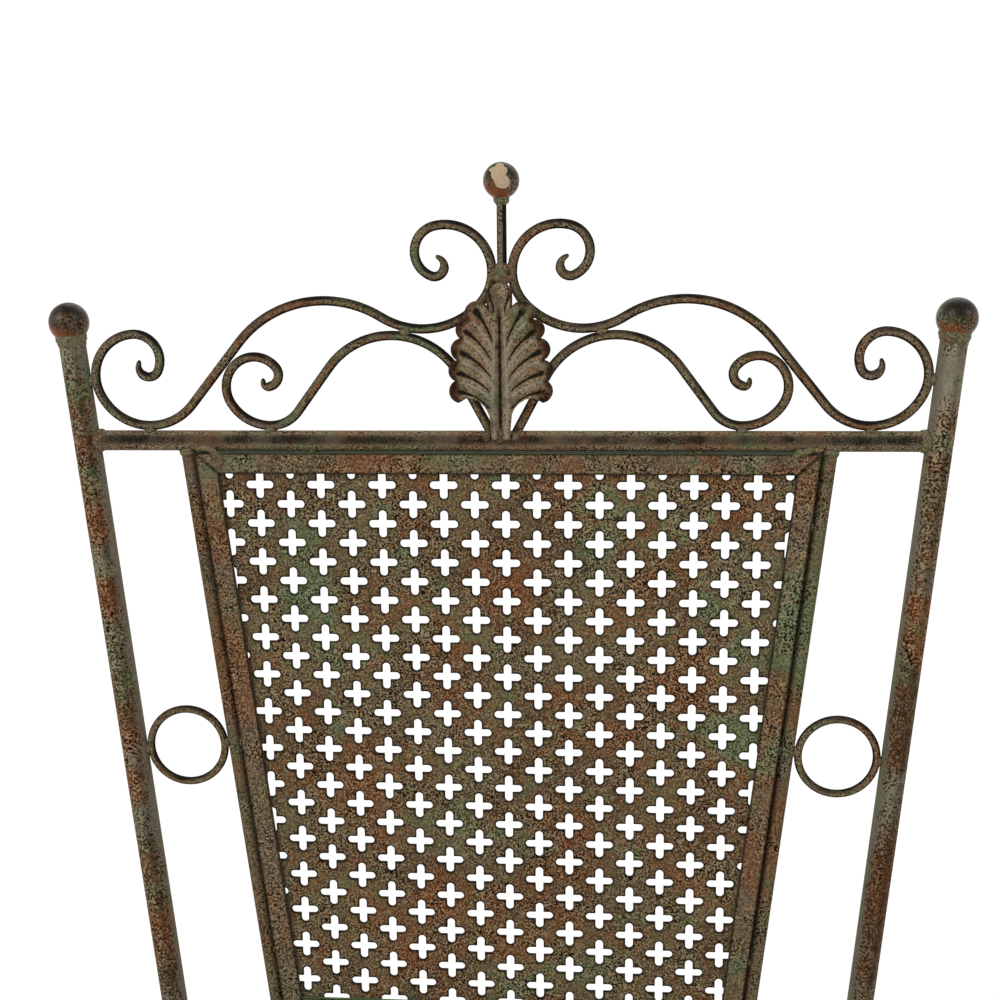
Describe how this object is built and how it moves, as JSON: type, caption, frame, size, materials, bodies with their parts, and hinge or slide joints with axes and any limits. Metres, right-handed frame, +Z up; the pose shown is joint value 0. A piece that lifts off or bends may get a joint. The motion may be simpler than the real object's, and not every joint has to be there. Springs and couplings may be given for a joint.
{
  "type": "iron garden chair",
  "caption": "Welded iron bistro chair with a raked back of cross-punched sheet, scrollwork crest with an acanthus leaf, ball finials and a matching punched seat.",
  "frame": {"origin": "On the floor under the middle of the chair's bounding box.", "axes": "+Z up, +X to the viewer's right when facing the front of the chair, -Y to the front, back leaning to +Y."},
  "size_m": [0.46, 0.5002, 0.9877],
  "materials": {
    "patina_bar": "speckled brown and verdigris antique patina on iron bar",
    "patina_sheet": "blotched brown and verdigris antique patina on iron sheet",
    "patina_rod": "dark rubbed antique patina on bent rod",
    "patina_ball": "dark semi-gloss antique patina",
    "cast_leaf": "antique patina with rubbed high spots",
    "weld_bead": "greenish painted weld bead",
    "foot_rubber": "matte black"
  },
  "bodies": {
    "root": {"acanthus_leaf": "cast_leaf", "back_post_left": "patina_bar", "back_post_right": "patina_bar", "back_sheet": "patina_sheet", "centre_stem": "patina_bar", "crest_rail": "patina_bar", "crest_rail_weld_left": "weld_bead", "crest_rail_weld_right": "weld_bead", "cross_stretcher": "patina_bar", "cross_stretcher_weld_left": "weld_bead", "cross_stretcher_weld_right": "weld_bead", "finial_ball_left": "patina_ball", "finial_ball_right": "patina_ball", "finial_ball_weld_left": "weld_bead", "finial_ball_weld_right": "weld_bead", "foot_cap_front_left": "foot_rubber", "foot_cap_front_right": "foot_rubber", "foot_cap_rear_left": "foot_rubber", "foot_cap_rear_right": "foot_rubber", "front_leg_left": "patina_bar", "front_leg_right": "patina_bar", "front_leg_weld_left": "weld_bead", "front_leg_weld_right": "weld_bead", "lower_back_rail": "patina_bar", "lower_back_rail_weld_left": "weld_bead", "lower_back_rail_weld_right": "weld_bead", "lower_scroll_left": "patina_rod", "lower_scroll_right": "patina_rod", "panel_angle_left": "patina_bar", "panel_angle_right": "patina_bar", "panel_bottom_angle": "patina_bar", "panel_top_angle": "patina_bar", "panel_welds": "weld_bead", "ring_left": "patina_rod", "ring_right": "patina_rod", "ring_welds": "weld_bead", "scroll_welds": "weld_bead", "seat_brace": "patina_bar", "seat_hoop": "patina_bar", "seat_hoop_weld_left": "weld_bead", "seat_hoop_weld_right": "weld_bead", "seat_rear_rail": "patina_bar", "seat_sheet": "patina_sheet", "side_bar_left": "patina_bar", "side_bar_right": "patina_bar", "side_stretcher_left": "patina_bar", "side_stretcher_right": "patina_bar", "stretcher_weld_front_left": "weld_bead", "stretcher_weld_front_right": "weld_bead", "stretcher_weld_rear_left": "weld_bead", "stretcher_weld_rear_right": "weld_bead", "top_ball": "patina_ball", "top_ball_weld": "weld_bead", "upper_scroll_left": "patina_rod", "upper_scroll_right": "patina_rod"}
  },
  "joints": []
}
